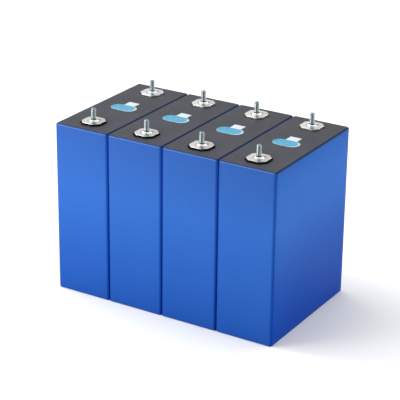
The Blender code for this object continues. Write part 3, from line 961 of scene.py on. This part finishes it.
def finish_cells():
    blue, grey = sleeve_film(), board_sheet()
    # painted shade: the negative plates get a darker, shaded copy of the same aluminium
    negative_metal = terminal_metal("terminal_aluminium_shaded", 0.90)
    positive_metal = terminal_metal("terminal_aluminium", 1.0)
    steel = stud_metal()
    black = moulded("insulator_black", (0.003, 0.003, 0.004), 0.48, Specular_IOR_Level=0.12)
    brown = moulded("insulator_brown", (0.095, 0.075, 0.062), 0.50)
    seal, rim, paper = seal_blue(), seal_rim(), label_paper()
    meshes = {
        "film_sleeve": (build_sleeve(), (blue,)),
        "board": (build_board(), (grey,)),
        "vent_seal": (build_vent_seal(), (seal, rim)),
        "label": (build_label(), (paper,)),
        "negative_plate": (build_terminal(), (negative_metal,)),
        "positive_plate": (build_terminal(), (positive_metal,)),
        "threaded_stud": (build_stud(), (steel,)),
        "negative_tray": (build_insulator("negative"), (black,)),
        "positive_gasket": (build_insulator("positive"), (brown,)),
    }
    for mesh, materials in meshes.values():
        for material in materials:
            mesh.materials.append(material)
    seal_at = (film_middle.x, film_middle.y, 0)
    label_at = (LABEL_CENTRE_X, film_middle.y + film_size.y / 2 + LABEL_WIDTH / 2, 0)
    for body in CELLS:
        low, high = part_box(f"{body}_sleeve")
        centre = Vector(((low.x + high.x) / 2, (low.y + high.y) / 2, 0.0))

        def put(piece, mesh, offset, replaced=()):
            where = centre + Vector(offset)
            names = [f"{body}_{node}" for node in replaced]
            place(f"{body}_{piece}", meshes[mesh][0], body, where, names)

        put("film_sleeve", "film_sleeve", (0, 0, 0), ("sleeve",))
        put("board", "board", (0, 0, 0), ("top_board",))
        put("vent_seal", "vent_seal", seal_at, ("vent_film",))
        put("label", "label", label_at)
        for side, pole in ((-1, "negative"), (1, "positive")):
            at = (0, side * TERMINAL_OFFSET, 0)
            holder = "negative_tray" if side < 0 else "positive_gasket"
            plate = f"{pole}_plate"
            put(plate, plate, at, (f"{pole}_terminal",))
            put(f"{pole}_threaded_stud", "threaded_stud", at, (f"{pole}_stud",))
            put(holder, holder, at, (f"{pole}_insulator",))


def finish_inside():
    """Materials for the CAD nodes that stay: what each cell holds under its sleeve."""
    by_ending = {
        "_can": sheet_metal("can_drawn", (0.780, 0.785, 0.790), 0.36, (1.0, 1.0, 0.03)),
        "_lid": sheet_metal("lid_rolled", (0.800, 0.800, 0.805), 0.32, (1.0, 0.03, 1.0)),
        "_inner_frame": moulded("frame_plastic", (0.680, 0.680, 0.655), 0.55),
        "_negative_collector": sheet_metal(
            "collector_copper", (0.850, 0.400, 0.250), 0.34, (1.0, 0.05, 1.0)
        ),
        "_positive_collector": sheet_metal(
            "collector_aluminium", (0.800, 0.800, 0.805), 0.36, (1.0, 0.05, 1.0)
        ),
        "_electrode_stack": stack_wrap(),
    }
    for name, node in frame["nodes"].items():
        for ending, material in by_ending.items():
            if name.endswith(ending):
                node.data.materials.clear()
                node.data.materials.append(material)


# Stage, light and camera


def make_floor():
    bm = bmesh.new()
    bmesh.ops.create_grid(bm, x_segments=1, y_segments=1, size=FLOOR_SIZE)
    mesh = bpy.data.meshes.new("floor")
    bm.to_mesh(mesh)
    bm.free()
    mesh.materials.append(backdrop_white())
    floor = bpy.data.objects.new("floor", mesh)
    floor.location.z = -FLOOR_DROP
    bpy.context.scene.collection.objects.link(floor)


def unit_towards(azimuth, elevation):
    """Unit vector towards a bearing in degrees: azimuth 0 is -Y and 90 is +X."""
    a, e = math.radians(azimuth), math.radians(elevation)
    return Vector((math.sin(a) * math.cos(e), -math.cos(a) * math.cos(e), math.sin(e)))


def make_sun(name, azimuth, elevation, strength, angle):
    """A broad sun that shines from this bearing."""
    data = bpy.data.lights.new(name, "SUN")
    data.energy = strength
    data.angle = math.radians(angle)
    lamp = bpy.data.objects.new(name, data)
    back = unit_towards(azimuth, elevation)
    lamp.rotation_mode = "QUATERNION"
    lamp.rotation_quaternion = (-back).to_track_quat("-Z", "Y")
    lamp.location = back * SUN_DISTANCE
    bpy.context.scene.collection.objects.link(lamp)


def make_world():
    """A white studio, brightest overhead, with one broad dark side that the metal mirrors."""
    world = bpy.data.worlds.new("studio")
    world.use_nodes = True
    tree = world.node_tree
    background = tree.nodes["Background"]
    background.inputs["Color"].default_value = (1.0, 1.0, 1.0, 1.0)
    direction = tree.nodes.new("ShaderNodeTexCoord").outputs["Generated"]

    def ramp_along(towards, values):
        """values are the cosines where the ramp starts and ends, and the levels there."""
        dot = tree.nodes.new("ShaderNodeVectorMath")
        dot.operation = "DOT_PRODUCT"
        tree.links.new(direction, dot.inputs[0])
        dot.inputs[1].default_value = towards
        ramp = tree.nodes.new("ShaderNodeMapRange")
        ramp.interpolation_type = "SMOOTHSTEP"
        for index, value in enumerate(values):
            ramp.inputs[index + 1].default_value = value
        tree.links.new(dot.outputs["Value"], ramp.inputs[0])
        return ramp.outputs[0]

    overhead = ramp_along((0.0, 0.0, 1.0), (*OVERHEAD_COSINES, WORLD_HORIZON, WORLD_OVERHEAD))
    dark_side = ramp_along(unit_towards(*DARK_SIDE), (*DARK_COSINES, 1.0, WORLD_DARK))
    product = tree.nodes.new("ShaderNodeMath")
    product.operation = "MULTIPLY"
    tree.links.new(overhead, product.inputs[0])
    tree.links.new(dark_side, product.inputs[1])
    tree.links.new(product.outputs[0], background.inputs["Strength"])
    bpy.context.scene.world = world


def make_softbox():
    """A square light over the front of the row, close enough to fade down the narrow faces."""
    data = bpy.data.lights.new("softbox", "AREA")
    data.shape = "SQUARE"
    data.size = SOFTBOX_SIZE
    data.energy = SOFTBOX_POWER
    lamp = bpy.data.objects.new("softbox", data)
    lamp.location = SOFTBOX_AT
    lamp.rotation_mode = "QUATERNION"
    aim = (cad_box[0] + cad_box[1]) / 2 - Vector(SOFTBOX_AT)
    lamp.rotation_quaternion = aim.to_track_quat("-Z", "Y")
    lamp.visible_camera = False
    bpy.context.scene.collection.objects.link(lamp)


def make_light():
    make_world()
    make_sun("key", azimuth=-88, elevation=50, strength=0.85, angle=56)
    make_sun("hard", azimuth=-80, elevation=48, strength=0.60, angle=12)
    make_sun("fill", azimuth=75, elevation=24, strength=0.24, angle=60)
    make_sun("rim", azimuth=150, elevation=18, strength=0.45, angle=12)
    make_softbox()
    bpy.context.scene.view_settings.view_transform = "Standard"


def make_camera():
    back = unit_towards(VIEW_AZIMUTH, VIEW_ELEVATION)
    right = (-back).cross(Vector((0, 0, 1))).normalized()
    up = right.cross(-back)
    level_right = right.copy()
    right = math.cos(VIEW_ROLL) * level_right + math.sin(VIEW_ROLL) * up
    up = math.cos(VIEW_ROLL) * up - math.sin(VIEW_ROLL) * level_right
    data = bpy.data.cameras.new("camera")
    data.lens = VIEW_LENS
    data.sensor_width = 36.0
    data.clip_start, data.clip_end = 0.05, 50.0
    camera = bpy.data.objects.new("camera", data)
    low, high = cad_box
    target = (low + high) / 2 + VIEW_OFFSET
    camera.matrix_world = Matrix.Translation(target + back * VIEW_DISTANCE) @ Matrix(
        (right, up, back)
    ).transposed().to_4x4()
    bpy.context.scene.collection.objects.link(camera)
    bpy.context.scene.camera = camera


finish_cells()
finish_inside()
make_floor()
make_light()
make_camera()

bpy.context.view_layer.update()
